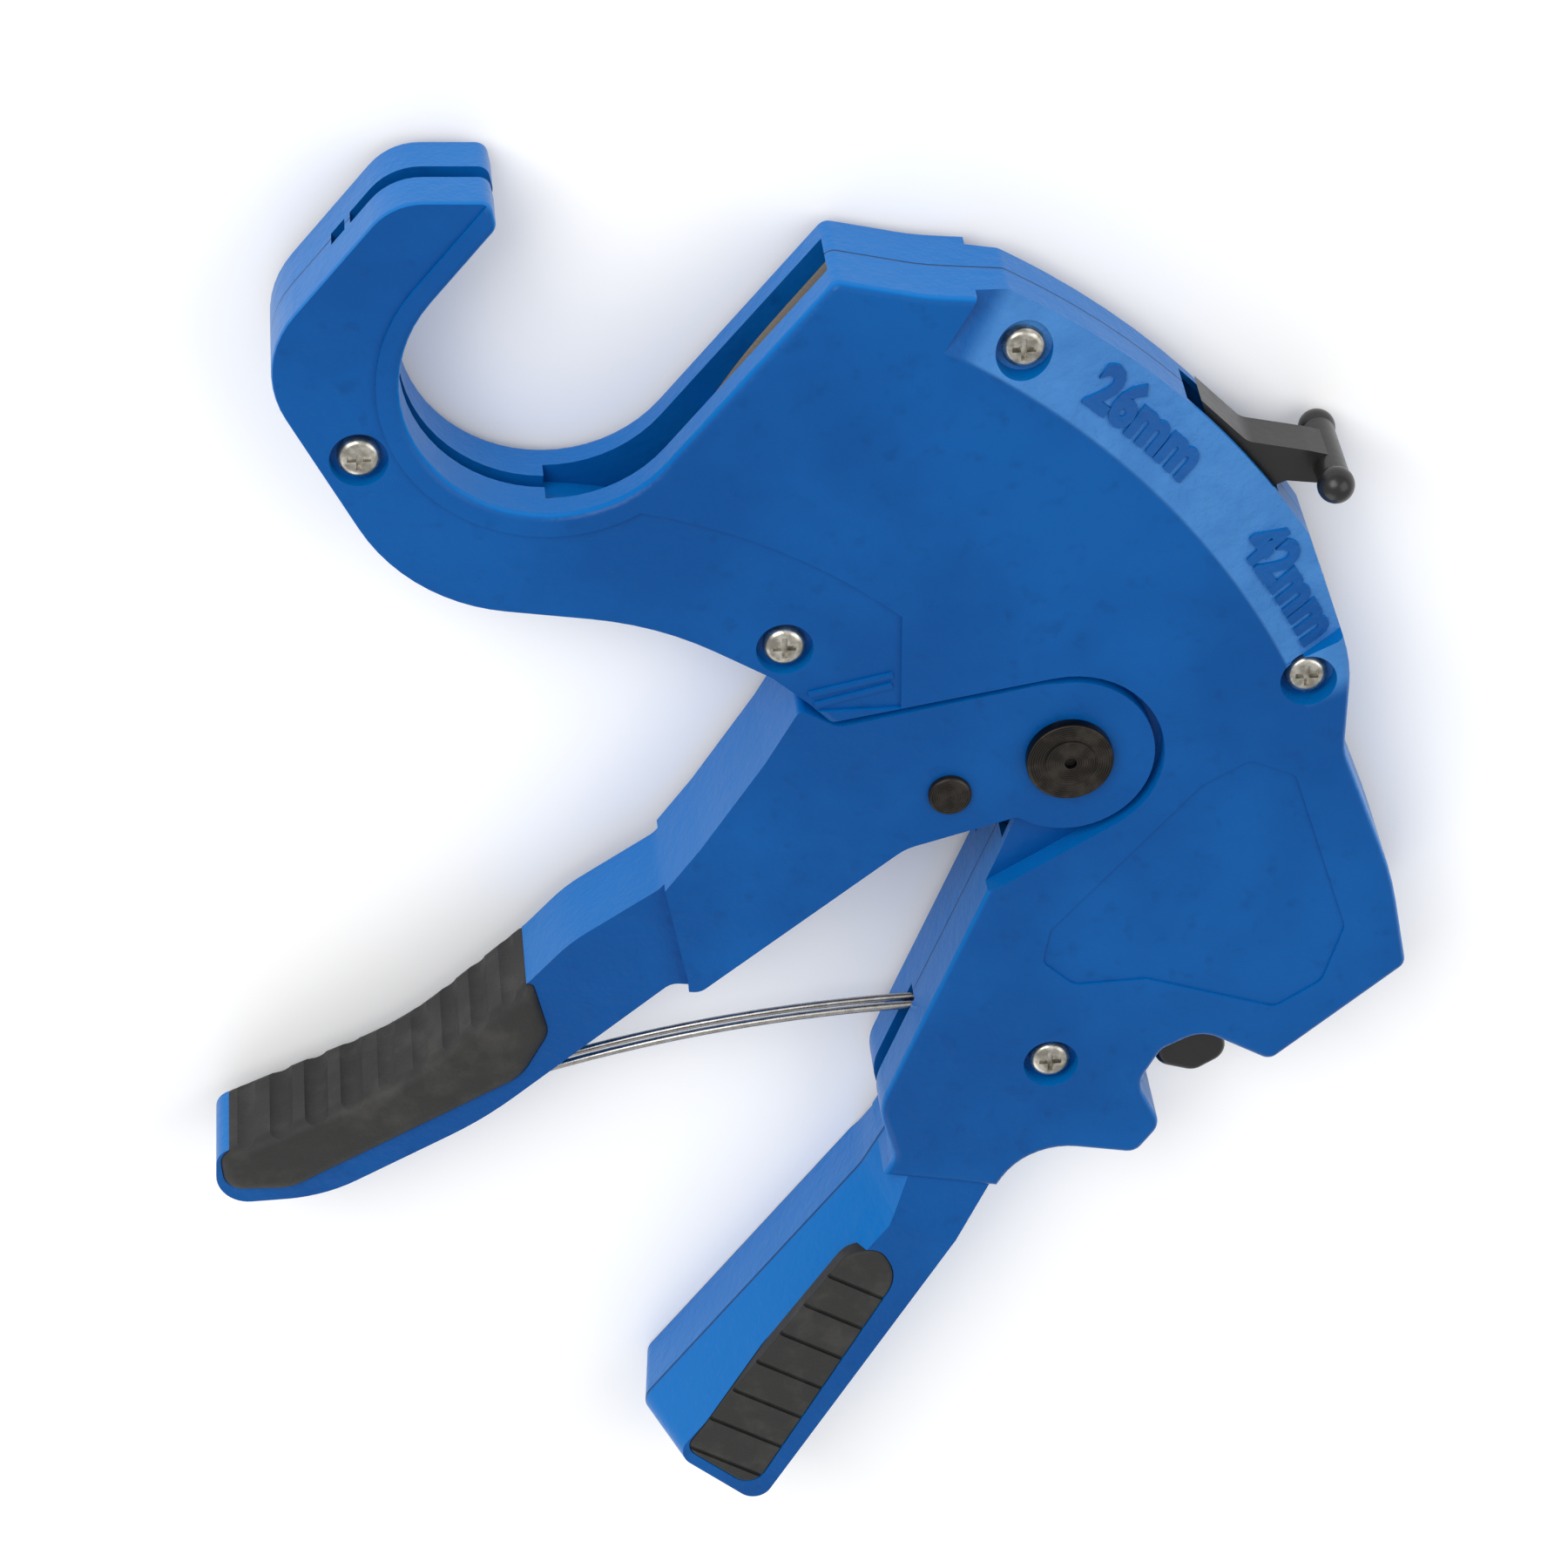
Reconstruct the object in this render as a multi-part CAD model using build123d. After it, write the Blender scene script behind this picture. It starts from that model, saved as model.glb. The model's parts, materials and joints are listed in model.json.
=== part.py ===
from build123d import *
import os
from math import cos, pi, radians, sin, tan

# Ratcheting plastic-pipe cutter, lying on its rear side. Millimetres.
# X runs from the hook towards the tail, Y from the handles towards the hook, Z up out of the front shell.
# Every piece is modelled with the parting plane at z = 0 and the main pivot's axis through (0, 0).
# save() lifts it by MID, so that the finished origin is on the pivot's axis, on the rest plane.

MID = 12.0  # parting plane above the rest plane
HALF = 10.0  # half the thickness of the body
GRIP_HALF = 12.0  # half the thickness of the fixed handle
EDGE = 1.3  # rounding of the cast edges

PIPE_MAX = 42.0  # largest pipe
THROAT = (-74.8, 66.2)  # centre of a pipe that is seated in the throat
THROAT_R = PIPE_MAX / 2 + 0.1
MOUTH_ANGLE = 50.0  # direction in which the throat opens
MOUTH_LENGTH = 36.7  # straight wall beside the blade, from the throat's centre
HOOK_LENGTH = 14.6  # straight wall of the hook
RIM = 3.3  # raised rim round the throat

MODULE = 1.3
GEAR_TEETH = 20
RING_TEETH = 164  # teeth of the whole ring that the blade's rack is a part of
GEAR_R = MODULE * GEAR_TEETH / 2
RACK_R = MODULE * RING_TEETH / 2
FEED_R = RACK_R - GEAR_R  # blade's centre to the main pivot
FEED_ANGLE = 26.57  # direction of the main pivot from the blade's centre
FEED = (-FEED_R * cos(radians(FEED_ANGLE)), -FEED_R * sin(radians(FEED_ANGLE)))
TOOTH = 1.7  # thickness of a tooth at the pitch line, thinned for backlash
FLANK = tan(radians(20))
ADDENDUM = 1.0
DEDENDUM = 1.5
BLADE_T = 2.5
BLADE_R = 130.0
BLADE_IN = 86.0
BLADE_EDGE = [(BLADE_R, 68.2), (113.5, 70.8), (99.0, 73.0), (93.0, 73.6), (86.6, 71.0)]
SPLIT = 46.0  # angle where the blade meets its rack
TONGUE = (101.0, 125.0, 54.0)  # radii and last angle of the tongue that laps the blade
RIVETS = [(106.5, 50.0), (119.5, 50.0)]

CAVITY = 4.7  # half depth of the chamber for blade, gear and pawls
HOOK_SLOT = 1.6
POCKET = 6.4  # floor of the recess for each ear
EAR_IN = 6.7
EAR_OUT = 9.5
EAR_R = 12.8
EAR_SWEEP_R = 14.2  # recess round the ear's end
NECK = 7.5  # half thickness of the handle's bar
CORE_INSET = 2.6  # wall of the rubber sleeve
CORE_HALF = 5.5  # half thickness of the core inside the sleeve
LEG_CHANNEL = 2.3  # half width of the channel for the spring's leg
GRIP_OUT = 9.0
GRIP_RIBS = 9
GROOVE_R = 2.2  # rounding of the hollows across the grip
GROOVE = 0.6
PIVOT_R = 4.5
PIVOT_HEAD_R = 6.5
PIN_HEAD = 11.4  # top of the pivot's head
RUNNING = 0.05  # radial play of what turns on a pin
THROUGH = 20.0  # beyond every face, for cuts that go right through

RATCHET_TEETH = 20
RATCHET_R = 13.4
RATCHET_ROOT = 12.0
PAWL_Z = (-3.9, -1.8)  # layer of the ratchet ring and of both pawls
PAWL_PIN = (-17.6, -5.6)
PAWL_PIN_R = 2.0
PAWL_BOSS_R = 3.2
HOLD_PIN = (18.0, -36.0)
HOLD_PIN_R = 1.75
SELECTOR_Z = (3.2, 4.5)
T_BAR = (37.5, 43.7)
T_BAR_R = 2.4
T_BALL = 2.75
HUB_R = 8.5
SHOE_GAP = 0.6  # room round the selector's shoe
T_REACH = 8.3
SELECTOR_TURN = 14.0

SPRING = (-13.0, -50.0)  # axis of the handle spring's coil
POST_R = 2.6  # post inside the coil
BLIND = 7.5  # half length of the pins that end inside the shells
COIL_R = 4.0
WIRE_R = 0.6
WIRE_GAP = 1.1
LEG_ARC = [(-16.9, -49.9), (-50.0, -52.4), (-82.3, -59.8)]

SCREWS = [(-102.0, 55.4), (-42.0, 20.8), (-8.1, 67.8), (35.0, 11.5), (-1.2, -56.0)]
SCREW_TOPS = [9.2, 9.2, 8.0, 8.6, 9.4]
SCREW_HEAD_R = 3.1
SCREW_HEAD = 1.9
SCREW_R = 1.5
DOWELS = [(-88.0, 38.5), (-8.0, -68.0)]
DOWEL_R = 1.5
DOWEL = 4.0
INSERT_DEPTH = 2.4
INSERT_PROUD = 0.2
INSERT_RIBS = 7
RIVET_R = 2.0


def polar(radius, angle, centre=FEED):
    """Point at a radius and an angle in degrees about a centre."""
    return centre[0] + radius * cos(radians(angle)), centre[1] + radius * sin(radians(angle))


def rounded(corners):
    """Closed face through corners (x, y, radius): straight sides joined by tangent arcs."""
    count = len(corners)
    stops = []
    for i, (x, y, r) in enumerate(corners):
        corner = Vector(x, y)
        back = (Vector(*corners[i - 1][:2]) - corner).normalized()
        ahead = (Vector(*corners[(i + 1) % count][:2]) - corner).normalized()
        half = radians(back.get_angle(ahead)) / 2
        if r == 0:
            stops.append((corner, None, corner))
            continue
        run = r / tan(half)
        middle = corner + (back + ahead).normalized() * (r / sin(half) - r)
        stops.append((corner + back * run, middle, corner + ahead * run))
    edges = []
    for i, (start, middle, end) in enumerate(stops):
        if middle is not None:
            edges.append(ThreePointArc(start, middle, end))
        following = stops[(i + 1) % count][0]
        if (following - end).length > 1e-4:
            edges.append(Line(end, following))
    return make_face(edges)


def slab(face, low, high):
    """A face in the XY plane, from one height to another."""
    return extrude(Pos(0, 0, low) * face, high - low, dir=(0, 0, 1))


def sector(r_in, r_out, start, end, centre=FEED):
    """Face of a ring between two radii and two angles in degrees."""
    mid = (start + end) / 2
    outer = ThreePointArc(polar(r_out, start, centre), polar(r_out, mid, centre), polar(r_out, end, centre))
    inner = ThreePointArc(polar(r_in, end, centre), polar(r_in, mid, centre), polar(r_in, start, centre))
    return make_face([outer, Line(outer @ 1, inner @ 0), inner, Line(inner @ 1, outer @ 0)])


def rod(place, radius, low, high):
    """Upright cylinder."""
    return Pos(place[0], place[1], (low + high) / 2) * Cylinder(radius, high - low)


def tube(place, outer, inner, low, high):
    """Upright tube."""
    return rod(place, outer, low, high) - rod(place, inner, low - 1, high + 1)


def ease(solid, height, radius):
    """Rounds the flat edges of a solid that lie at one height."""
    edges = solid.edges().filter_by_position(Axis.Z, height - 0.01, height + 0.01)
    return fillet(edges, radius)


def save(name, shape):
    """Writes one node, lifted on to the rest plane."""
    export_step(Pos(0, 0, MID) * shape, f"parts/{name}.step")


def throat_point(across, along):
    """Point given across the throat, positive towards the blade, and along it, positive towards its mouth."""
    a = radians(MOUTH_ANGLE)
    x = THROAT[0] + across * sin(a) + along * cos(a)
    return x, THROAT[1] - across * cos(a) + along * sin(a)


def body_face(ears=True):
    """Outline of the body, hook and finger guard, to the root of the fixed handle, hollowed round the ears or not."""
    hollow = [
        (-36.0, 8.2, 1),
        (-14.5, 3.6, 1),
        (-15.65, -7.3, 14.8),
        (-7.4, -12.9, 0.6),
    ]
    return rounded([
        (*throat_point(THROAT_R, MOUTH_LENGTH), 1.8),
        (*throat_point(THROAT_R, -THROAT_R), THROAT_R),
        (*throat_point(-THROAT_R, -THROAT_R), THROAT_R),
        (*throat_point(-THROAT_R, HOOK_LENGTH), 1.8),
        (-82.3, 95.0, 1.8),
        (-95.8, 95.6, 9),
        (-116.5, 71.1, 15),
        (-96.1, 31.4, 28),
        (-60.5, 25.7, 50),
        (-44.0, 15.8, 2),
        (-38.7, 11.2, 2),
        *(hollow if ears else []),
        (-9.6, -19.0, 2),
        (-22.6, -51.0, 25),
        (-27.6, -63.5, 8),
        (-24.9, -73.0, 4),
        (-26.6, -76.2, 0),
        (-8.9, -79.5, 0),
        (-4.1, -71.5, 11),
        (12.6, -74.5, 2.5),
        (16.4, -69.3, 3),
        (12.5, -61.2, 5),
        (16.0, -54.8, 3),
        (22.0, -51.8, 5),
        (32.8, -58.0, 2),
        (52.9, -41.0, 1.8),
        (49.8, -24.5, 60),
        (41.2, -1.5, 10),
        (41.4, 14.0, 25),
        (34.6, 33.9, 2),
        (17.5, 60.7, 124),
        (-10.4, 76.6, 2),
        (-22.0, 77.7, 40),
    ])


def handle_shape(side):
    """Fixed handle, above the parting plane. side is 1 for the front, whose left side slopes, and -1 for the rear."""
    base = rounded([(-25.6, -74.0, 0), (-29.3, -80.9, 15), (-64.9, -127.1, 3.2), (-46.6, -142.2, 3),
                    (-5.5, -73.8, 0)])
    front = rounded([(-21.9, -76.9, 0), (-25.6, -83.8, 15), (-59.7, -128.2, 3.2), (-46.4, -139.5, 3),
                     (-6.7, -73.1, 0)])
    rear = rounded([(-24.9, -74.6, 0), (-28.4, -81.4, 15), (-63.8, -127.2, 3.2), (-46.6, -141.3, 3),
                    (-6.2, -73.4, 0)])
    solid = loft([base, Pos(0, 0, GRIP_HALF) * (front if side > 0 else rear)], ruled=True)
    ramp = Pos(-18.0, -79.5, HALF - 0.2) * Rot(0, 0, 71) * Rot(0, 17.5, 0) * Pos(0, 0, 6) * Box(90, 70, 12)
    return solid - ramp


def insert_face(gap=0.0):
    """Outline of the rubber insert in each side of the fixed handle, with a gap round it."""
    face = rounded([(-32.6, -89.4, 4.4), (-58.2, -127.0, 2.5), (-47.3, -136.2, 3), (-24.4, -94.4, 6.5),
                    (-27.4, -88.6, 3)])
    return offset(face, gap) if gap else face


def ear_pocket():
    """Recess that an ear sweeps, above its floor."""
    swept = rounded([(-2.5, 14.0, 0), (-36.0, 8.0, 0), (-60.0, 6.0, 0), (-50.0, -45.0, 0), (-12.0, -24.0, 0),
                     (7.15, -12.3, 0)])
    return slab(swept + Circle(EAR_SWEEP_R), POCKET, HALF + 5)


def back_bevel():
    """Cone that falls away from the face towards the back edge; the size marks stand on it."""
    high, low, fall = 128.0, 146.0, 4.5 / 13
    section = Polyline((high, HALF), (low, HALF - (low - high) * fall), (low, HALF + 3), (high, HALF + 3), close=True)
    ring = revolve(Plane.XZ * make_face(section), Axis.Z, 34)
    return Pos(*FEED, 0) * Rot(0, 0, 26) * ring


def lowered_face():
    """Sunken field of the hook and the lower edge, outside the rim of the throat."""
    field = Pos(-75, 56) * Rectangle(100, 92)
    field -= sector(89.5, 175.0, 35, 84)
    rim = [throat_point(THROAT_R + RIM, -THROAT_R - RIM), throat_point(-THROAT_R - RIM, -THROAT_R - RIM),
           throat_point(-THROAT_R - RIM, 60), throat_point(THROAT_R + RIM, 60)]
    rim_face = rounded([(*rim[0], THROAT_R + RIM), (*rim[1], THROAT_R + RIM), (*rim[2], 0), (*rim[3], 0)])
    return slab(field - rim_face, HALF - 0.6, HALF + 5)


def tongue_ridge(place, length, angle):
    """Low ridge on the tongue between the body and the ear."""
    return Pos(*place, HALF - 0.7) * Rot(0, 0, angle) * Box(length, 0.8, 1.2)


def name_panel():
    """Shallow blank panel on the cheek."""
    face = rounded([(20, -6, 2), (27, -2, 2), (34, -5, 2), (43, -33, 3), (40, -43, 3), (33, -47.5, 2), (13, -41, 3),
                    (2, -41.5, 3), (-3, -37, 2), (-2, -31, 3)])
    return slab(face, HALF - 0.35, HALF + 5)


def chamber():
    """Open room inside one shell for the blade, gear, pawls and selector."""
    rooms = sector(84.6, 131.0, 36, 84.8)
    rooms += sector(104.2, 125.0, -2.2, 37)
    rooms += sector(104.2, 122.8, -3.6, 1)
    rooms += sector(120.0, 137.0, 30, 52) + sector(120.0, 139.6, 33.5, 46)
    rooms += Circle(16.0)
    rooms += sector(8.0, 19.5, 178, 262, (0, 0)) + sector(8.0, 25.0, 44, 102, (0, 0))
    rooms += rounded([(8.5, -4, 0), (10.5, -46.5, 3), (27.0, -46.5, 3), (22.5, -4, 0)])
    return slab(rooms, 0, CAVITY)


def button_notch():
    """Opening under the cheek for the release button."""
    return slab(rounded([(11.5, -45, 0), (11.5, -64, 0), (29.5, -64, 0), (29.5, -45, 0)]), 0, 5.4)


def hook_slot():
    """Narrow slot past the throat and out through the top of the hook, for the edge of the blade."""
    return slab(sector(85.2, 131.0, 80, 99.2) + sector(120.0, 150.0, 84, 97.8), 0, HOOK_SLOT)


def stalk_face():
    """Thumb piece of the selector in plan: pointed shoe in the slot, neck out to the T bar."""
    return rounded([(28.8, 41.0, 0), (31.2, 42.0, 1), (35.6, 41.4, 0), (37.2, 46.0, 0), (34.3, 46.8, 1.5),
                    (25.2, 48.8, 3), (18.2, 55.9, 0), (20.9, 47.0, 0), (25.7, 44.7, 0)])


def lever_slot(side):
    """Slot in the back wall that the selector's shoe sweeps."""
    shoe = offset(stalk_face(), SHOE_GAP)
    depth = 4.8 if side > 0 else 3.95
    cut = slab(shoe, 0, depth)
    for turn in range(1, int(SELECTOR_TURN) + 1):
        cut += Rot(0, 0, turn) * slab(shoe, 0, depth)
    return cut


def guide_pad():
    """Pad beside the blade, just inside the mouth."""
    near, far = THROAT_R + 4.0, THROAT_R + 9.0
    corners = [throat_point(near, 4), throat_point(far, 4), throat_point(far, 8), throat_point(near, 8)]
    return slab(rounded([(*corner, 1) for corner in corners]), BLADE_T / 2 + 0.35, CAVITY + 0.3)


def handle_room():
    """Hollow of the fixed handle."""
    return slab(rounded([(-27.0, -88.0, 3), (-58.0, -126.5, 4), (-47.3, -135.6, 4), (-17.5, -88.0, 3)]), 0, 8.0)


def spring_room():
    """Pocket of the handle spring's coil and the slit that its leg swings in."""
    slit = rounded([(-12, -48.4, 0), (-30, -48.0, 0), (-34, -67.5, 0), (-24, -66.5, 0), (-12, -55, 0)])
    return rod(SPRING, 6.5, -1, 5.0) + slab(slit, 0, 2.0)


def shell(side):
    """One cast half, above the parting plane. side is 1 for the front and -1 for the rear, before it is turned."""
    half = slab(body_face(), 0, POCKET) + ease(slab(body_face(ears=False), POCKET, HALF), HALF, EDGE)
    half = half - back_bevel() - lowered_face()
    if side > 0:
        half = half - name_panel()
    half = half + tongue_ridge((-32.4, 14.3), 12.6, 12.7) + tongue_ridge((-32.0, 12.5), 11.6, 14.0)
    half = half + handle_shape(side)
    half = half - slab(insert_face(0.1), GRIP_HALF - INSERT_DEPTH, GRIP_HALF + 2)
    half = half - handle_room() - chamber() - button_notch() - hook_slot() - spring_room()
    half = half - lever_slot(side) - ear_pocket()
    half = half + guide_pad()
    half = half - rod((0, 0), PIVOT_R, -1, HALF + 2) - rod(HOLD_PIN, HOLD_PIN_R, -1, BLIND)
    half = half - rod(SPRING, POST_R, 0, BLIND)
    for place, top in zip(SCREWS, SCREW_TOPS):
        if side > 0:
            half = half - rod(place, SCREW_R, -1, HALF + 1)
            half = half - rod(place, SCREW_HEAD_R + 1.1, top - SCREW_HEAD, HALF + 4)
        else:
            half = half - rod(place, SCREW_R, -1, 6.0)
    for place in DOWELS:
        half = half - rod(place, DOWEL_R, -1, DOWEL)
    return half


def shell_screws():
    """Five cross-recessed pan-head screws."""
    made = []
    for place, top in zip(SCREWS, SCREW_TOPS):
        head = rod(place, SCREW_HEAD_R, top - SCREW_HEAD, top)
        head = fillet(head.edges().group_by(Axis.Z)[-1], 1.1)
        cross = Pos(*place, top) * (Box(3.4, 0.8, 2.0) + Box(0.8, 3.4, 2.0))
        made.append(head + rod(place, SCREW_R, -6.0, top - SCREW_HEAD) - cross)
    return Compound(made)


def grip_insert():
    """Ribbed rubber insert, above the parting plane."""
    floor = GRIP_HALF - INSERT_DEPTH
    top = GRIP_HALF + INSERT_PROUD
    solid = ease(slab(insert_face(), floor, top), top, 0.5)
    for k in range(INSERT_RIBS):
        t = (k + 0.8) / INSERT_RIBS
        place = (-28.2 - 24.5 * t, -91.5 - 39.5 * t)
        groove = Pos(*place, top) * Rot(0, 0, -31) * Box(40, 0.7, 1.1)
        solid = solid - groove
    return solid


def pivot_pin():
    """Main pivot with a stepped head."""
    pin = rod((0, 0), PIVOT_R, -MID, EAR_OUT + 0.1)
    head = fillet(rod((0, 0), PIVOT_HEAD_R, EAR_OUT + 0.1, PIN_HEAD).edges().group_by(Axis.Z)[-1], 0.5)
    return pin + head + rod((0, 0), 3.8, PIN_HEAD, PIN_HEAD + 0.2) - rod((0, 0), 0.9, PIN_HEAD - 0.6, MID)


def spiral_spring():
    """Flat spiral spring that pulls the blade back."""
    turns, inner, outer, thick, steps = 3, 4.55, 12.0, 0.55, 90
    rise = (outer - inner) / steps
    near = [polar(inner + rise * i, 360 * turns * i / steps, (0, 0)) for i in range(steps + 1)]
    far = [polar(inner + thick + rise * i, 360 * turns * i / steps, (0, 0)) for i in range(steps + 1)]
    return slab(make_face(Polyline(*near, *reversed(far), close=True)), 1.8, 2.9)


def ring(place, radius, wire, height):
    """One closed turn of wire about an upright axis."""
    return Pos(place[0], place[1], height) * Torus(radius, wire)


def handle_outline():
    """Outline of the moving handle with its ears and its grip."""
    return rounded([
        (-1.5, 13.2, 12.8),
        (-34.2, 6.9, 3),
        (-39.8, 10.2, 1),
        (-45.0, 1.0, 8),
        (-54.5, -13.5, 20),
        (-60.5, -21.6, 4),
        (-74.1, -30.6, 25),
        (-80.2, -37.2, 10),
        (-99.7, -54.4, 50),
        (-129.0, -67.0, 3),
        (-129.6, -76.5, 5),
        (-113.0, -76.0, 25),
        (-88.0, -62.8, 60),
        (-59.0, -39.0, 3),
        (-54.8, -39.6, 2.5),
        (-24.0, -15.2, 8),
        (-8.0, -10.6, 0),
        (8.0, -10.0, 0),
        (12.0, 8.0, 0),
    ])


def handle_grip_face():
    """Outline of the rubber sleeve on the moving handle."""
    return rounded([(-80.0, -36.9, 1), (-99.7, -54.2, 50), (-128.6, -66.8, 3), (-128.0, -73.6, 3), (-118.0, -74.0, 8),
                    (-82.0, -55.0, 8), (-77.6, -47.0, 4)])


def sleeve_core():
    """Inside of the rubber sleeve."""
    return slab(offset(handle_grip_face(), -CORE_INSET), -CORE_HALF, CORE_HALF)


def sleeve_mouth():
    """Where the handle's bar runs into the sleeve."""
    face = rounded([(-70, -34, 0), (-79, -42, 0), (-84, -47, 0), (-86, -55, 0), (-76, -50, 0), (-66, -42, 0)])
    return slab(face, -CORE_HALF, CORE_HALF)


def leg_channel():
    """Channel under the bar and the sleeve that the spring's leg slides in."""
    face = rounded([(-56, -36, 0), (-64, -39.5, 0), (-84, -54.5, 0), (-106, -68.5, 0), (-106, -80, 0), (-56, -50, 0)])
    return slab(face, -LEG_CHANNEL, LEG_CHANNEL)


def moving_handle():
    """Fork with two ears, its bar and the core of the grip."""
    outline = handle_outline() + Circle(EAR_R)
    cut_line = rounded([(-60.0, -20.0, 0), (-56.5, -38.0, 0), (-56.5, -60.0, 0), (20.0, -60.0, 0), (20.0, 20.0, 0),
                        (-60.0, 20.0, 0)])
    trim = Circle(EAR_R) + rounded([(0, EAR_R, 0), (-60, 30, 0), (-60, -60, 0), (0, -60, 0)])
    fork = slab((outline & cut_line) & trim, -EAR_OUT, EAR_OUT)
    bar = slab(outline - cut_line - handle_grip_face(), -NECK, NECK)
    solid = fork + bar + sleeve_core() + (sleeve_mouth() & slab(outline, -NECK, NECK))
    solid = solid - rod((0, 0), 37.5, -EAR_IN, EAR_IN)
    solid = solid - rod((0, 0), PIVOT_R + RUNNING, -THROUGH, THROUGH)
    return solid - rod(PAWL_PIN, PAWL_PIN_R, -THROUGH, THROUGH) - leg_channel()


def handle_grip():
    """Rubber sleeve with ribs across the palm side, open under the bar."""
    solid = slab(handle_grip_face(), -GRIP_OUT, GRIP_OUT)
    solid = ease(ease(solid, GRIP_OUT, 2.2), -GRIP_OUT, 2.2)
    crest = ThreePointArc((-83.4, -39.9), (-101.5, -54.6), (-124.5, -65.0))
    for k in range(GRIP_RIBS):
        t = k / (GRIP_RIBS - 1)
        along = crest % t
        place = crest @ t + Vector(along.Y, -along.X) * (GROOVE_R - GROOVE)
        solid = solid - rod((place.X, place.Y), GROOVE_R, -THROUGH, THROUGH)
    return solid - sleeve_core() - sleeve_mouth() - leg_channel()


def drive_pawl():
    """Pawl on the moving handle that pushes the ratchet ring."""
    arm = rounded([(-18.9, -8.6, 0), (-10.9, -11.3, 0.4), (-9.7, -9.8, 0), (-15.0, -3.6, 0)])
    solid = slab(arm, *PAWL_Z) + rod(PAWL_PIN, PAWL_BOSS_R, -6.2, -0.4)
    return solid - rod(PAWL_PIN, PAWL_PIN_R + RUNNING, -THROUGH, THROUGH)


def holding_pawl():
    """Pawl in the body that holds the ratchet ring, with the tail that carries the release button."""
    arm = rounded([(14.6, -37.0, 3), (14.0, -5.6, 0), (13.9, -3.5, 0), (16.4, -6.0, 2), (21.0, -34.0, 3),
                   (23.4, -55.0, 0), (18.6, -55.0, 0)])
    solid = slab(arm, *PAWL_Z) + rod(HOLD_PIN, 3.6, -4.3, -1.5)
    return solid - rod(HOLD_PIN, HOLD_PIN_R + RUNNING, -THROUGH, THROUGH)


def release_button():
    """Thumb button on the tail of the holding pawl."""
    face = rounded([(16.4, -53.0, 1.5), (15.4, -61.0, 3), (22.0, -63.0, 3), (27.0, -60.0, 3), (26.0, -54.0, 1.5)])
    solid = ease(ease(slab(face, -5.0, 5.0), 5.0, 1.2), -5.0, 1.2)
    return solid - holding_pawl()


def spring_leg():
    """Two parallel legs of the handle spring, with the turn of the coil that each one leaves."""
    path = ThreePointArc(*LEG_ARC)
    section = Plane(origin=path @ 0, z_dir=path % 0) * Circle(WIRE_R)
    wire = sweep(section, path)
    tip = path @ 1
    solid = rod((tip.X + 0.3, tip.Y + 0.1), WIRE_R + 0.05, -WIRE_GAP, WIRE_GAP)
    for height in (-WIRE_GAP, WIRE_GAP):
        weld = Pos(*LEG_ARC[0], height) * Sphere(WIRE_R + 0.15)
        solid = solid + (ring(SPRING, COIL_R, WIRE_R, height) + weld + Pos(0, 0, height) * wire)
    return solid


def beyond_edge(back):
    """Area in front of the cutting edge, which is turned back by an angle."""
    edge = Spline(*[polar(r, a - back) for r, a in BLADE_EDGE])
    far, near = polar(BLADE_R + 5, 82), polar(BLADE_IN - 3, 82)
    return make_face([edge, Line(edge @ 1, near), Line(near, far), Line(far, edge @ 0)])


def rivet_holes():
    """Two rivets through the lap of blade and rack."""
    places = [polar(*rivet) for rivet in RIVETS]
    return rod(places[0], RIVET_R, -BLADE_T / 2, BLADE_T / 2) + rod(places[1], RIVET_R, -BLADE_T / 2, BLADE_T / 2)


def cutting_blade():
    """Hardened plate with a curved edge, ground from both sides."""
    t = BLADE_T / 2
    edge = Spline(*[polar(r, a) for r, a in BLADE_EDGE])
    top = ThreePointArc(polar(BLADE_R, SPLIT), polar(BLADE_R, 57), edge @ 0)
    foot = ThreePointArc(polar(BLADE_IN, 70.6), polar(BLADE_IN, 60), polar(BLADE_IN, 48))
    butt = polar(BLADE_IN + 5.2, SPLIT)
    plate = make_face([top, edge, Line(edge @ 1, foot @ 0), foot, Line(foot @ 1, butt), Line(butt, top @ 0)])
    bevel = loft([Pos(0, 0, 0.08) * beyond_edge(0), Pos(0, 0, t + 0.05) * beyond_edge(2.2)], ruled=True)
    solid = slab(plate, -t, t) - bevel - mirror(bevel, Plane.XY)
    r_in, r_out, last = TONGUE
    return solid - slab(sector(r_in, r_out, SPLIT - 1, last), -t - 1, 0) - rivet_holes()


def rack_gap():
    """Gap between two teeth of the rack, along X from the blade's centre."""
    space = pi * MODULE - TOOTH
    points = [(RACK_R - 3, space / 2 + 3 * FLANK), (RACK_R + DEDENDUM, space / 2 - DEDENDUM * FLANK)]
    return make_face(Polyline(*points, *[(x, -y) for x, y in reversed(points)], close=True))


def feed_rack():
    """Curved tail of the blade with the teeth that the drive gear turns."""
    t = BLADE_T / 2
    tips = RACK_R - ADDENDUM
    face = sector(tips, 124.0, -1.5, 30.5) + sector(tips, BLADE_R, 30, SPLIT) + sector(tips, 122.0, -3, 0)
    face += make_face(Polyline(polar(tips + 1, 39), polar(BLADE_IN + 5.2, SPLIT), polar(tips + 4, SPLIT), close=True))
    pitch = 360 / RING_TEETH
    for k in range(-13, 4):
        face -= Pos(*FEED) * Rot(0, 0, FEED_ANGLE + k * pitch) * rack_gap()
    r_in, r_out, last = TONGUE
    tongue = slab(sector(r_in + 0.1, r_out - 0.1, SPLIT - 0.2, last - 0.1), -t, 0)
    return slab(face, -t, t) + tongue - rivet_holes()


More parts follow.
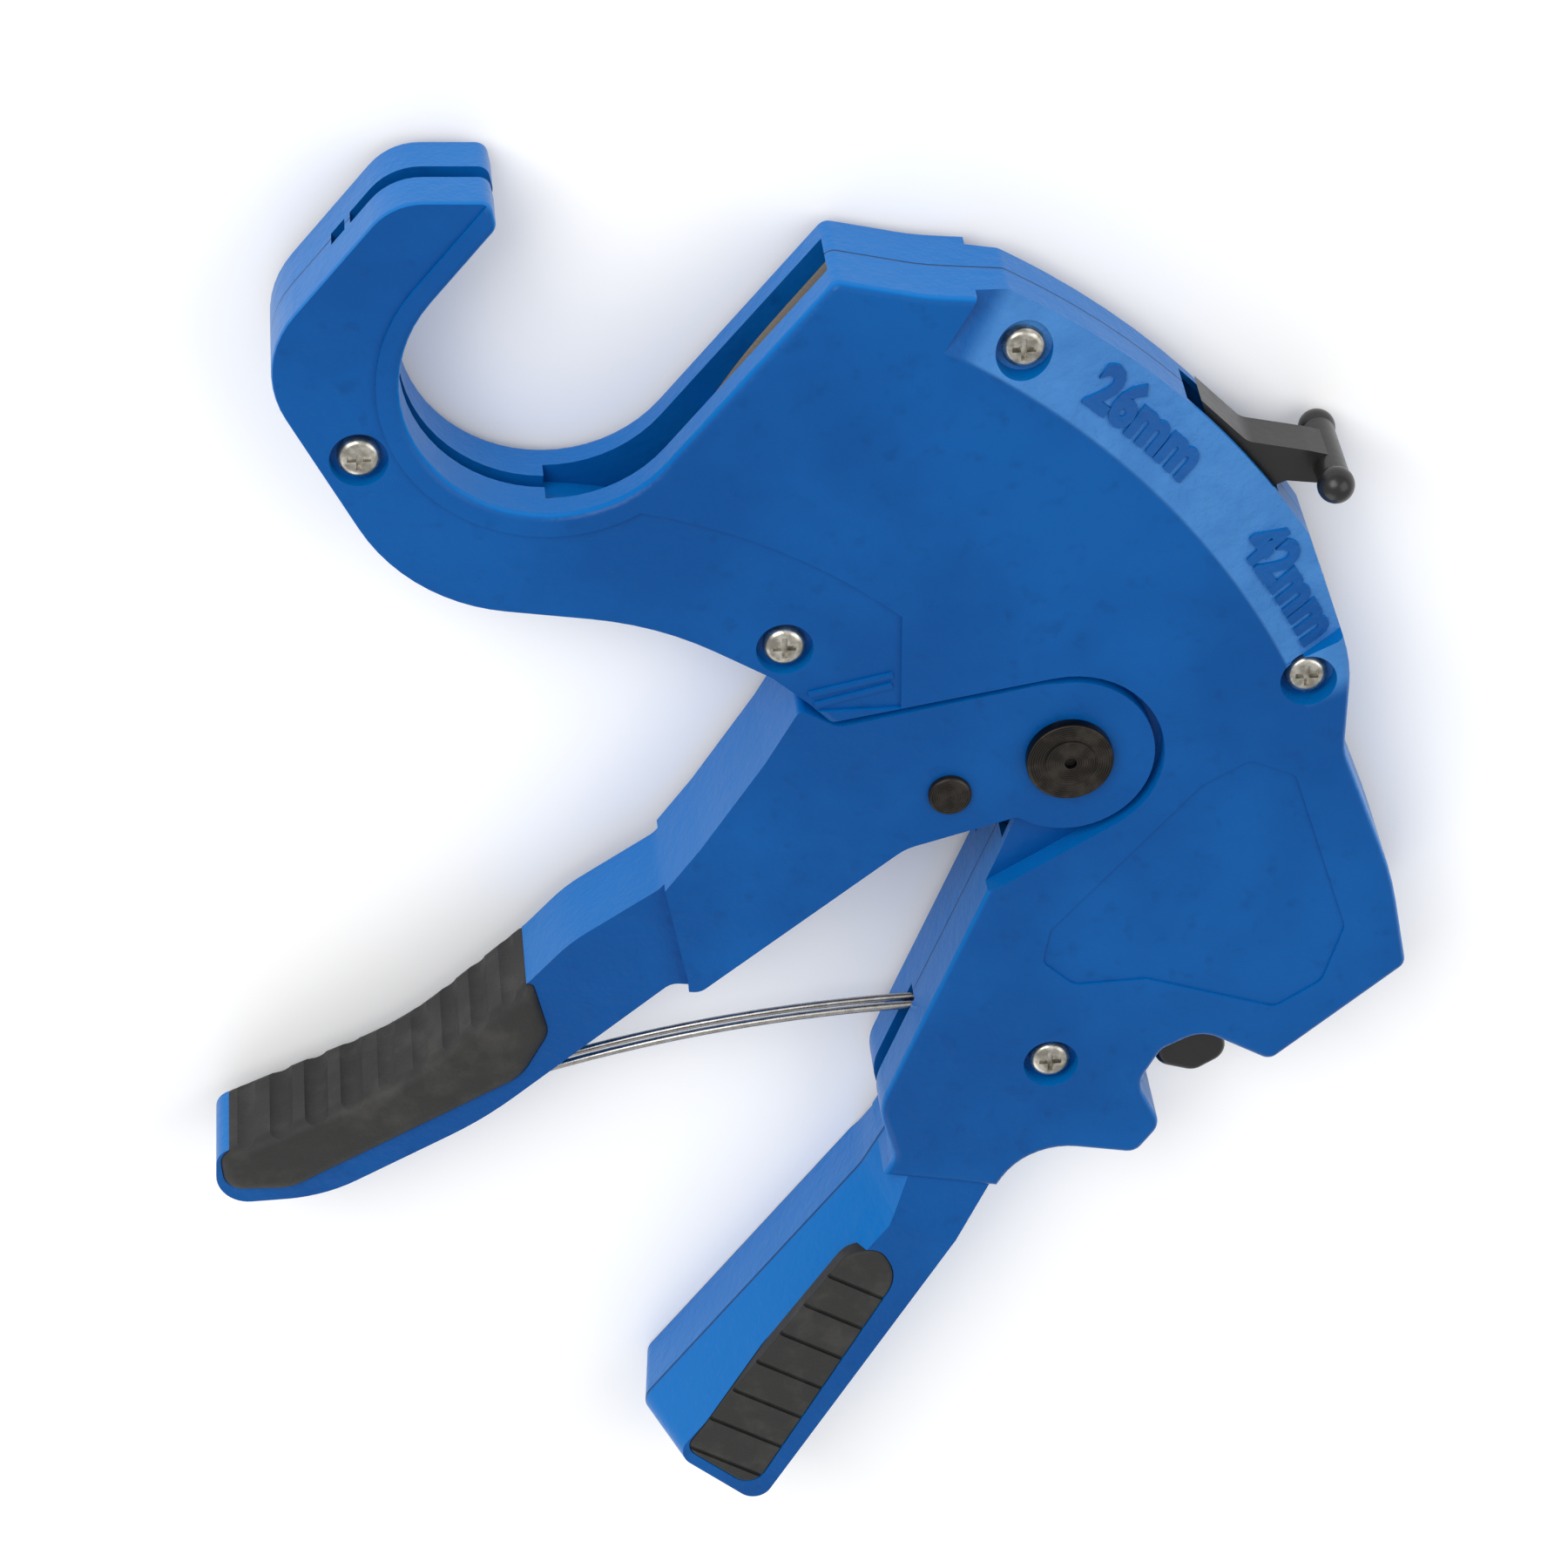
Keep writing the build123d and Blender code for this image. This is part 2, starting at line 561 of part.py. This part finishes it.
def ratchet_gear():
    """Drive gear for the rack and, under it, the ratchet ring, in one piece on the pivot."""
    wheel = Circle(GEAR_R - DEDENDUM)
    half = TOOTH / 2
    root, tip = (GEAR_R - DEDENDUM - 0.5, half + DEDENDUM * FLANK), (GEAR_R + ADDENDUM, half - ADDENDUM * FLANK)
    tooth = make_face(Polyline((root[0], -root[1]), (tip[0], -tip[1]), tip, root, close=True))
    for k in range(GEAR_TEETH):
        wheel += Rot(0, 0, FEED_ANGLE + k * 360 / GEAR_TEETH) * tooth
    step = 360 / RATCHET_TEETH
    points = []
    for k in range(RATCHET_TEETH):
        points.append(polar(RATCHET_ROOT, k * step, (0, 0)))
        points.append(polar(RATCHET_R, k * step + 1, (0, 0)))
    solid = slab(wheel, -1.5, 1.5) + slab(make_face(Polyline(*points, close=True)), *PAWL_Z)
    return solid + rod((0, 0), 10.0, -4.3, 1.5) - rod((0, 0), PIVOT_R + RUNNING, -9, 9)


def selector_lever():
    """Lever that chooses how far the blade opens: hub on the pivot, arm, shoe in the slot and T bar."""
    arm = rounded([(7.6, 2.6, 0), (28.7, 41.5, 0), (22.5, 47.3, 0), (-0.6, 8.2, 0)])
    solid = slab(arm + Circle(HUB_R), *SELECTOR_Z) + slab(stalk_face(), -3.65, 3.65)
    solid = solid + rod(T_BAR, T_BAR_R, -T_REACH, T_REACH)
    for height in (-T_REACH, T_REACH):
        solid = solid + Pos(*T_BAR, height) * Sphere(T_BALL)
    return solid - rod((0, 0), PIVOT_R + RUNNING, -9, 9)


def pawl_pin():
    """Headed pin of the drive pawl through both ears."""
    head = fillet(rod(PAWL_PIN, PAWL_BOSS_R, EAR_OUT, EAR_OUT + 1.1).edges().group_by(Axis.Z)[-1], 0.4)
    return head + rod(PAWL_PIN, PAWL_PIN_R, -EAR_OUT - 1.4, EAR_OUT)


def build():
    """Makes every node and writes it."""
    os.makedirs("parts", exist_ok=True)
    save("front_shell", shell(1))
    save("rear_shell", mirror(shell(-1), Plane.XY))
    save("shell_screws", shell_screws())
    save("shell_dowels", Compound([rod(place, DOWEL_R, -DOWEL, DOWEL) for place in DOWELS]))
    save("front_grip_insert", grip_insert())
    save("rear_grip_insert", mirror(grip_insert(), Plane.XY) & Pos(0, 0, -8) * Box(400, 400, 8))
    save("pivot_pin", pivot_pin())
    save("pivot_washer", tube((0, 0), 7.6, PIVOT_R, -EAR_OUT - 0.9, -EAR_OUT - 0.1))
    save("pivot_clip", tube((0, 0), 6.6, PIVOT_R, -EAR_OUT - 1.8, -EAR_OUT - 0.9) - Pos(4, 0, -11) * Box(8, 3, 4))
    save("feed_spring", spiral_spring())
    save("holding_pawl_pin", rod(HOLD_PIN, HOLD_PIN_R, -BLIND, BLIND))
    coil = [Pos(11.0 + 0.8 * k, -40.5, -1.2) * Rot(0, 90, 0) * Torus(2.0, 0.35) for k in range(4)]
    save("holding_pawl_spring", Compound(coil))
    save("spring_post", rod(SPRING, POST_R, -BLIND, BLIND))
    turns = [ring(SPRING, COIL_R, WIRE_R, side * height) for side in (-1, 1) for height in (2.5, 3.75)]
    save("handle_spring_coil", Compound(turns))
    save("moving_handle", moving_handle())
    save("handle_grip", handle_grip())
    save("pawl_pin", pawl_pin())
    save("pawl_pin_clip", tube(PAWL_PIN, 3.6, PAWL_PIN_R, -EAR_OUT - 1.0, -EAR_OUT))
    pawl_turns = [ring(PAWL_PIN, 2.55, 0.4, 0.4 + 0.95 * k) for k in range(6)]
    save("drive_pawl_spring", Compound(pawl_turns))
    save("drive_pawl", drive_pawl())
    save("cutting_blade", cutting_blade())
    save("feed_rack", feed_rack())
    save("blade_rivets", Compound(rivet_holes().solids()))
    save("ratchet_gear", ratchet_gear())
    save("holding_pawl", holding_pawl())
    save("release_button", release_button())
    save("selector_lever", selector_lever())
    save("handle_spring_leg", spring_leg())


build()
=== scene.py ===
import json
import math
import bpy
import numpy as np
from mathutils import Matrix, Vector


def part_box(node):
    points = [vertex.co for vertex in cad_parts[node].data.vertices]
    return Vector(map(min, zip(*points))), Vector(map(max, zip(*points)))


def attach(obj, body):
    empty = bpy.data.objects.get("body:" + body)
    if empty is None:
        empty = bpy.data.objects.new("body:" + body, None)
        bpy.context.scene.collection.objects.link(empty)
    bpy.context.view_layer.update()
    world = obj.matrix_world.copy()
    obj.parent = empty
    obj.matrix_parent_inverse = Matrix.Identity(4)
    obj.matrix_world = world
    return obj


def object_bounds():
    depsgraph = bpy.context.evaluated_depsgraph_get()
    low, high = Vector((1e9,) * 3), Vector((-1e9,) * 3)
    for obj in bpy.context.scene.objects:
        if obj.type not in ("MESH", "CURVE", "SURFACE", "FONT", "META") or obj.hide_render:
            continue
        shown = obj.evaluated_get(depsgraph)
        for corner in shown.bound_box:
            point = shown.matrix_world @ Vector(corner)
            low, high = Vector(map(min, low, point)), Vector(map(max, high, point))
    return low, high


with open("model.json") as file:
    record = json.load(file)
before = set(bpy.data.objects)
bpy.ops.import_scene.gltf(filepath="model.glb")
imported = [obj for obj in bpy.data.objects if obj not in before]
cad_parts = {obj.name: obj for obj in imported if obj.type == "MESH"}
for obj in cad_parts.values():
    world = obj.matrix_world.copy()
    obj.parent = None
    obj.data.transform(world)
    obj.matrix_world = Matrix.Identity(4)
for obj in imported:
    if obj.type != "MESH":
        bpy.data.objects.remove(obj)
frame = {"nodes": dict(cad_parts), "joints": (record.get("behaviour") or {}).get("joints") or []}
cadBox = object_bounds()
nodes = frame["nodes"]
# centre that the blade turns about
feedAxis = next(j for j in frame["joints"] if j["name"] == "blade_feed")["pos_m"]

mm = 0.001
midHeight = 12 * mm  # parting plane above the floor
faceHeight = midHeight + 10 * mm  # flat front of the casting
bevel = {"start": 128 * mm, "fall": 4.5 / 13}  # cone behind the face: first radius about feedAxis, and slope


class Wire:
    # one output of a node; an operator on it adds a Math node
    def __init__(self, shader, out):
        self.shader = shader
        self.out = out

    def maths(self, operation, *values):
        return self.shader.node("ShaderNodeMath", {"operation": operation}, *values)

    def size(self):
        return self.maths("ABSOLUTE", self)

    def wave(self):
        return self.maths("SINE", self)

    def __add__(self, other):
        return self.maths("ADD", self, other)

    def __radd__(self, other):
        return self.maths("ADD", other, self)

    def __sub__(self, other):
        return self.maths("SUBTRACT", self, other)

    def __rsub__(self, other):
        return self.maths("SUBTRACT", other, self)

    def __mul__(self, other):
        return self.maths("MULTIPLY", self, other)

    def __rmul__(self, other):
        return self.maths("MULTIPLY", other, self)

    def __pow__(self, other):
        return self.maths("POWER", self, other)


class Shader:
    # a material whose nodes are added one after another
    def __init__(self, name, **fixed):
        self.material = bpy.data.materials.new(name)
        self.material.use_nodes = True
        self.tree = self.material.node_tree
        self.surface = self.tree.nodes["Principled BSDF"]
        for socket, value in fixed.items():
            self.surface.inputs[socket.replace("_", " ")].default_value = value
        self.place = Wire(self, self.tree.nodes.new("ShaderNodeTexCoord").outputs["Object"])

    def node(self, kind, settings, *values, pick=0, at=None, **named):
        # values go to the sockets 0, 1, 2 and on, or to those that `at` lists, and named ones by socket name
        made = self.tree.nodes.new(kind)
        for key, value in settings.items():
            setattr(made, key, value)
        wanted = list(zip(at or range(len(values)), values))
        wanted += [(key.replace("_", " "), value) for key, value in named.items()]
        for key, value in wanted:
            if isinstance(value, Wire):
                self.tree.links.new(value.out, made.inputs[key])
            else:
                made.inputs[key].default_value = value
        return Wire(self, made.outputs[pick])

    def noise(self, size, detail=3.0, rough=0.5):
        # cloudy pattern from 0 to 1 whose blobs are about `size` metres across
        named = {"Vector": self.place, "Scale": 1 / size, "Detail": detail, "Roughness": rough}
        return self.node("ShaderNodeTexNoise", {}, **named)

    def axis(self, index):
        # one coordinate of the place on the piece
        return self.node("ShaderNodeSeparateXYZ", {}, self.place, pick=index)

    def apart(self, centre):
        # how far the place is from an upright axis, in x and in y
        return self.axis(0) - centre[0], self.axis(1) - centre[1]

    def radius(self, centre):
        x, y = self.apart(centre)
        return (x * x + y * y) ** 0.5

    def turn(self, centre):
        # direction of the place from an upright axis, in radians
        x, y = self.apart(centre)
        return y.maths("ARCTAN2", y, x)

    def facing(self):
        # 1 where the surface faces straight up or down, 0 where it stands upright
        normal = self.node("ShaderNodeNewGeometry", {}, pick=3)
        return self.node("ShaderNodeSeparateXYZ", {}, normal, pick=2).size()

    def step(self, value, low, high):
        # 0 below low, 1 above high, smooth between
        smooth = {"interpolation_type": "SMOOTHSTEP"}
        return self.node("ShaderNodeMapRange", smooth, value, low, high, 0.0, 1.0)

    def mix(self, mask, first, second):
        # colour that goes from the first to the second with the mask
        colours = {"data_type": "RGBA"}
        return self.node("ShaderNodeMix", colours, mask, first, second, at=(0, 6, 7), pick=2)

    def bump(self, height, reach, **under):
        # raises the surface by up to `reach` metres where height is 1, on top of the Normal it is given
        return self.node("ShaderNodeBump", {}, Height=height, Strength=1.0, Distance=reach, **under)

    def feed(self, **wires):
        for socket, wire in wires.items():
            self.tree.links.new(wire.out, self.surface.inputs[socket.replace("_", " ")])
        return self.material


def rgb(colour):
    # display values from 0 to 255, as the linear colour that a node takes
    shares = [v / 255 for v in colour]
    linear = [s / 12.92 if s < 0.04045 else ((s + 0.055) / 1.055) ** 2.4 for s in shares]
    return (*linear, 1.0)


view = {
    "location": (-0.09947, 0.43997, 0.68305), "turn": (-33.68, -4.954, 0.0), "lens": 124.607, "film": 36.0,
    "nearest": 10 * mm,
}
camera = bpy.data.objects.new("camera", bpy.data.cameras.new("camera"))
bpy.context.collection.objects.link(camera)
camera.location = view["location"]
camera.rotation_euler = [math.radians(a) for a in view["turn"]]
camera.data.lens = view["lens"]
camera.data.sensor_width = view["film"]
camera.data.clip_start = view["nearest"]
bpy.context.scene.camera = camera

studio = {
    "aim": (-0.03, 0, 0), "worldColour": (1, 1, 1, 1), "worldStrength": 0.62,
    "lamps": {
        "keyLamp": {"at": (-0.55, 0.75, 0.95), "size": 0.8, "watts": 9.0},
        "fillLamp": {"at": (0.75, 0.25, 0.85), "size": 0.9, "watts": 3.5},
        "lowLamp": {"at": (-0.45, -0.85, 0.5), "size": 0.8, "watts": 2.0},
    },
}


def makeLamp(name, lamp):
    # square lamp, tipped from overhead and turned towards the aim
    light = bpy.data.objects.new(name, bpy.data.lights.new(name, "AREA"))
    bpy.context.collection.objects.link(light)
    light.data.size = lamp["size"]
    light.data.energy = lamp["watts"]
    light.location = lamp["at"]
    away = np.array(lamp["at"]) - np.array(studio["aim"])
    tip = math.atan2(math.hypot(away[0], away[1]), away[2])
    light.rotation_euler = (tip, 0, math.atan2(away[1], away[0]) + math.pi / 2)


for lampName, lamp in studio["lamps"].items():
    makeLamp(lampName, lamp)

world = bpy.data.worlds.new("studio")
bpy.context.scene.world = world
world.use_nodes = True
background = world.node_tree.nodes["Background"]
background.inputs["Color"].default_value = studio["worldColour"]
background.inputs["Strength"].default_value = studio["worldStrength"]
bpy.context.scene.view_settings.view_transform = "Standard"


def gridMesh(name, points):
    # quads over a grid of points, shape (rows, columns, 3)
    rows, columns = points.shape[:2]
    r, c = np.meshgrid(np.arange(rows - 1), np.arange(columns - 1), indexing="ij")
    corner = r * columns + c
    quads = np.stack([corner, corner + 1, corner + columns + 1, corner + columns], -1)
    mesh = bpy.data.meshes.new(name)
    mesh.from_pydata(points.reshape(-1, 3).tolist(), [], quads.reshape(-1, 4).tolist())
    mesh.polygons.foreach_set("use_smooth", np.ones(len(mesh.polygons), bool))
    piece = bpy.data.objects.new(name, mesh)
    bpy.context.collection.objects.link(piece)
    return piece


sheet = {
    "half": 6.0, "below": 0.2 * mm, "points": 9, "roughness": 0.9, "cloud": 0.6,
    "dark": (250, 250, 250), "light": (254, 254, 254),
}


def makeFloor():
    # flat square: x and y run evenly across it, and the height is the same everywhere
    line = np.linspace(-sheet["half"], sheet["half"], sheet["points"])
    across, along = np.meshgrid(line, line)
    low = cadBox[0][2] - sheet["below"]
    floor = gridMesh("floor", np.stack([across, along, np.full_like(across, low)], -1))
    paper = Shader("floorPaper", Roughness=sheet["roughness"])
    tone = paper.mix(paper.noise(sheet["cloud"]), rgb(sheet["dark"]), rgb(sheet["light"]))
    floor.data.materials.append(paper.feed(Base_Color=tone))


makeFloor()
print("camera, lights and floor ready")


paint = {
    # the last colour on the next line, a paler blue for upright walls, is painted light
    "face": (0, 71, 138), "pale": (2, 82, 152), "deep": (0, 56, 114), "paintedFlankLight": (0, 116, 196),
    # the pale blue at the start of the next line is a painted reflection for the bevel band
    "wearAndSheen": (70, 132, 196), "joint": (0, 36, 84), "ior": 1.27,
    # the 5 mm patch size on the next line sets the patches of the painted bevel reflection
    "cloud": 30 * mm, "speck": 3 * mm, "grain": 0.9 * mm, "pit": 2.2 * mm, "rubAndSheen": 5 * mm, "sheen": 8 * mm,
    "grainDepth": 0.05 * mm, "castDepth": 0.16 * mm, "pitDepth": 0.5 * mm, "seamDepth": 0.2 * mm,
    "seam": (0.08 * mm, 0.26 * mm),  # half width of the joint's dark line, and where it has faded out
    "bandEdge": 0.6 * mm, "bandFloor": (16 * mm, 17 * mm),
    # the band's directions about the centre, in degrees, softened over spanEdge radians
    "span": (22.0, 57.5), "spanEdge": 0.03,
}


def bevelBand(s, height, centre):
    # 1 on the bevel between the two directions of the span, 0 elsewhere
    first, last = [math.radians(a) for a in paint["span"]]
    soft = paint["spanEdge"]
    turn = s.turn(centre)
    ring = s.step(s.radius(centre), bevel["start"], bevel["start"] + paint["bandEdge"])
    arc = s.step(turn, first, first + soft) * (1 - s.step(turn, last, last + soft))
    return ring * s.step(height, *paint["bandFloor"]) * arc * s.step(s.facing(), 0.5, 0.8)


def bluePaint(name, joined, banded, centre):
    # gloss paint over a casting: orange peel, soft hollows, upright flanks painted paler as painted light, a
    # pitted band on the back bevel with a painted pale reflection in patches where banded is 1, and a dark
    # joint at the parting plane where joined is 1
    s = Shader(name, IOR=paint["ior"])
    height = s.axis(2)
    cloud = s.step(s.noise(paint["cloud"], 4.0), 0.35, 0.7)
    tone = s.mix(cloud, rgb(paint["face"]), rgb(paint["pale"]))
    specks = s.step(s.noise(paint["speck"]), 0.55, 0.8)
    tone = s.mix(specks * 0.35, tone, rgb(paint["deep"]))
    # painted light: upright walls are mixed towards a paler blue, standing in for the light they catch
    paintedFlankLight = 1 - s.step(s.facing(), 0.45, 0.9)
    tone = s.mix(paintedFlankLight * 0.75, tone, rgb(paint["paintedFlankLight"]))
    band = bevelBand(s, height, centre) * banded
    # painted reflection: the bevel band is mixed towards a pale blue in patches, a gloss reflection painted
    # into the colour
    tone = s.mix(band * (0.45 + 0.5 * s.noise(paint["rubAndSheen"])), tone, rgb(paint["wearAndSheen"]))
    joint = (1 - s.step((height - midHeight).size(), *paint["seam"])) * joined
    tone = s.mix(joint * 0.75, tone, rgb(paint["joint"]))
    peel = s.bump(s.noise(paint["grain"], 2.0), paint["grainDepth"])
    cast = s.bump(s.noise(paint["speck"], 4.0, 0.6), paint["castDepth"], Normal=peel)
    pitted = s.bump(s.noise(paint["pit"], 4.0, 0.6) * band, paint["pitDepth"], Normal=cast)
    seam = s.bump(1 - joint, paint["seamDepth"], Normal=pitted)
    rough = 0.26 + 0.14 * s.noise(paint["sheen"]) + 0.1 * band
    return s.feed(Base_Color=tone, Roughness=rough, Normal=seam)


rubber = {
    "dark": (34, 34, 33), "light": (52, 51, 49), "ior": 1.45,
    "rubAndSheen": 6 * mm, "sheen": 4 * mm, "grain": 0.5 * mm, "grainDepth": 0.06 * mm,
}


def gripRubber():
    # matt moulded rubber with a fine grain and paler rubbed spots
    s = Shader("gripRubber", IOR=rubber["ior"])
    wearAndSheen = s.step(s.noise(rubber["rubAndSheen"], 5.0, 0.6), 0.45, 0.75)
    tone = s.mix(wearAndSheen, rgb(rubber["dark"]), rgb(rubber["light"]))
    grain = s.bump(s.noise(rubber["grain"], 2.0), rubber["grainDepth"])
    return s.feed(Base_Color=tone, Roughness=0.52 + 0.2 * s.noise(rubber["sheen"]), Normal=grain)


darkSteel = {
    "dark": (26, 24, 23), "light": (58, 54, 50), "mark": (84, 78, 70), "metallic": 0.85,
    "ring": 0.35 * mm, "wander": 2 * mm, "cloud": 3 * mm, "markDepth": 0.012 * mm,
}


def turnedSteel(name, centre):
    # black steel whose tool marks are rings about an upright axis: a sine of the radius, wandering a little
    s = Shader(name, Metallic=darkSteel["metallic"])
    phase = s.radius(centre) * (2 * math.pi / darkSteel["ring"]) + 2.5 * s.noise(darkSteel["wander"])
    rings = phase.wave() * 0.5 + 0.5
    cloud = s.step(s.noise(darkSteel["cloud"], 4.0), 0.4, 0.7)
    tone = s.mix(cloud, rgb(darkSteel["dark"]), rgb(darkSteel["light"]))
    tone = s.mix(rings * 0.3, tone, rgb(darkSteel["mark"]))
    grooves = s.bump(rings, darkSteel["markDepth"])
    return s.feed(Base_Color=tone, Roughness=0.34 + 0.16 * rings, Normal=grooves)


zinc = {
    "dark": (150, 146, 136), "light": (214, 210, 200), "metallic": 0.95,
    "cloud": 1.6 * mm, "sheen": 1.2 * mm, "pit": 0.7 * mm, "pitDepth": 0.02 * mm,
}


def zincPlate():
    # bright plated steel, a little yellow, with fine pits
    s = Shader("zincPlate", Metallic=zinc["metallic"])
    cloud = s.step(s.noise(zinc["cloud"], 4.0), 0.35, 0.7)
    tone = s.mix(cloud, rgb(zinc["dark"]), rgb(zinc["light"]))
    pits = s.bump(s.noise(zinc["pit"]), zinc["pitDepth"])
    return s.feed(Base_Color=tone, Roughness=0.2 + 0.18 * s.noise(zinc["sheen"]), Normal=pits)


wire = {"dark": (120, 116, 110), "light": (206, 202, 196), "metallic": 1.0, "streak": 1.5 * mm}


def springWire():
    # drawn steel wire with streaks
    s = Shader("springWire", Metallic=wire["metallic"])
    streak = s.noise(wire["streak"], 5.0, 0.7)
    tone = s.mix(streak, rgb(wire["dark"]), rgb(wire["light"]))
    return s.feed(Base_Color=tone, Roughness=0.2 + 0.15 * streak)


bladeSteel = {
    "body": (52, 50, 48), "light": (92, 88, 82), "ground": (176, 160, 138), "metallic": 0.9,
    "linesPerMetre": 4000.0, "lineDepth": 0.01 * mm,
}


def hardPlate(centre):
    # hardened plate ground along arcs about an upright axis; where its faces tilt it is bright
    s = Shader("hardPlate", Metallic=bladeSteel["metallic"])
    across = s.radius(centre) * bladeSteel["linesPerMetre"]
    lines = s.node("ShaderNodeTexNoise", {"noise_dimensions": "1D"}, W=across, Scale=1.0, Detail=4.0)
    tilt = s.facing()
    ground = s.step(tilt, 0.5, 0.8) * (1 - s.step(tilt, 0.985, 0.998))
    tone = s.mix(lines, rgb(bladeSteel["body"]), rgb(bladeSteel["light"]))
    tone = s.mix(ground, tone, rgb(bladeSteel["ground"]))
    scratches = s.bump(lines, bladeSteel["lineDepth"])
    return s.feed(Base_Color=tone, Roughness=0.28 + 0.2 * lines, Normal=scratches)


plastic = {
    "dark": (16, 16, 16), "light": (34, 33, 32), "ior": 1.49,
    "cloud": 10 * mm, "sheen": 2 * mm, "spark": 1.2 * mm, "sparkDepth": 0.03 * mm,
}


def blackPlastic():
    # glossy moulding with a faint spark-eroded texture
    s = Shader("blackPlastic", IOR=plastic["ior"])
    tone = s.mix(s.noise(plastic["cloud"]), rgb(plastic["dark"]), rgb(plastic["light"]))
    spark = s.bump(s.noise(plastic["spark"]), plastic["sparkDepth"])
    return s.feed(Base_Color=tone, Roughness=0.22 + 0.16 * s.noise(plastic["sheen"]), Normal=spark)


def middle(node):
    # centre of a node's box, across and along
    low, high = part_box(node)
    return (low[0] + high[0]) / 2, (low[1] + high[1]) / 2


finishes = {
    bluePaint("shellPaint", 1.0, 1.0, feedAxis): ["front_shell", "rear_shell"],
    bluePaint("handlePaint", 0.0, 0.0, feedAxis): ["moving_handle"],
    gripRubber(): ["front_grip_insert", "rear_grip_insert", "handle_grip"],
    turnedSteel("pivotSteel", (0, 0)): ["pivot_pin", "pivot_washer", "pivot_clip", "ratchet_gear"],
    turnedSteel("pawlSteel", middle("pawl_pin")): ["pawl_pin", "pawl_pin_clip", "drive_pawl"],
    turnedSteel("holdSteel", middle("holding_pawl_pin")): ["holding_pawl"],
    zincPlate(): ["shell_screws", "shell_dowels", "holding_pawl_pin", "spring_post"],
    springWire(): ["feed_spring", "holding_pawl_spring", "handle_spring_coil", "drive_pawl_spring",
                   "handle_spring_leg"],
    hardPlate(feedAxis): ["cutting_blade", "feed_rack", "blade_rivets"],
    blackPlastic(): ["release_button", "selector_lever"],
}
for material, names in finishes.items():
    for name in names:
        for spot in nodes[name].material_slots:
            spot.material = material
print("finishes on", sum(len(names) for names in finishes.values()), "nodes")


marks = {
    "radius": 132 * mm, "tall": 6.6 * mm, "raise": 0.55 * mm, "sunk": 0.3 * mm,
    "capShare": 0.73, "narrow": 0.88, "bold": 0.045, "thick": 0.5, "curveSteps": 3,
    "starts": {"26mm": 50.4, "42mm": 35.2},  # direction of each mark's left end about the centre, in degrees
}
markPaint = bluePaint("markPaint", 0.0, 0.0, feedAxis)


def flatText(words):
    # mesh of the words, lying flat, at font size 1
    curve = bpy.data.curves.new("words", "FONT")
    curve.body = words
    curve.size = 1.0
    curve.extrude = marks["thick"]
    curve.offset = marks["bold"]
    curve.resolution_u = marks["curveSteps"]
    flat = bpy.data.objects.new("words", curve)
    bpy.context.collection.objects.link(flat)
    bpy.context.view_layer.update()
    mesh = bpy.data.meshes.new_from_object(flat)
    bpy.data.objects.remove(flat)
    return mesh


def sizeMark(words, startAngle):
    # raised numerals: the flat text is wrapped clockwise round the bevel, so x becomes an angle about the
    # blade's centre, y a radius, and the height follows the cone that falls away from the face
    mesh = flatText(words)
    places = np.empty(len(mesh.vertices) * 3)
    mesh.vertices.foreach_get("co", places)
    x, y, z = places.reshape(-1, 3).T
    scale = marks["tall"] / marks["capShare"]
    radius = marks["radius"] + y * scale
    angle = math.radians(startAngle) - x * scale * marks["narrow"] / marks["radius"]
    ground = faceHeight - (radius - bevel["start"]) * bevel["fall"]
    height = ground + np.where(z > 0, marks["raise"], -marks["sunk"])
    spots = np.stack([feedAxis[0] + radius * np.cos(angle), feedAxis[1] + radius * np.sin(angle), height], -1)
    mesh.vertices.foreach_set("co", spots.ravel())
    mesh.update()
    mesh.name = "size_mark_" + words[:2]
    mark = bpy.data.objects.new(mesh.name, mesh)
    bpy.context.collection.objects.link(mark)
    mesh.materials.clear()
    mesh.materials.append(markPaint)
    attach(mark, "housing")


for words, startAngle in marks["starts"].items():
    sizeMark(words, startAngle)
print("size marks ready")
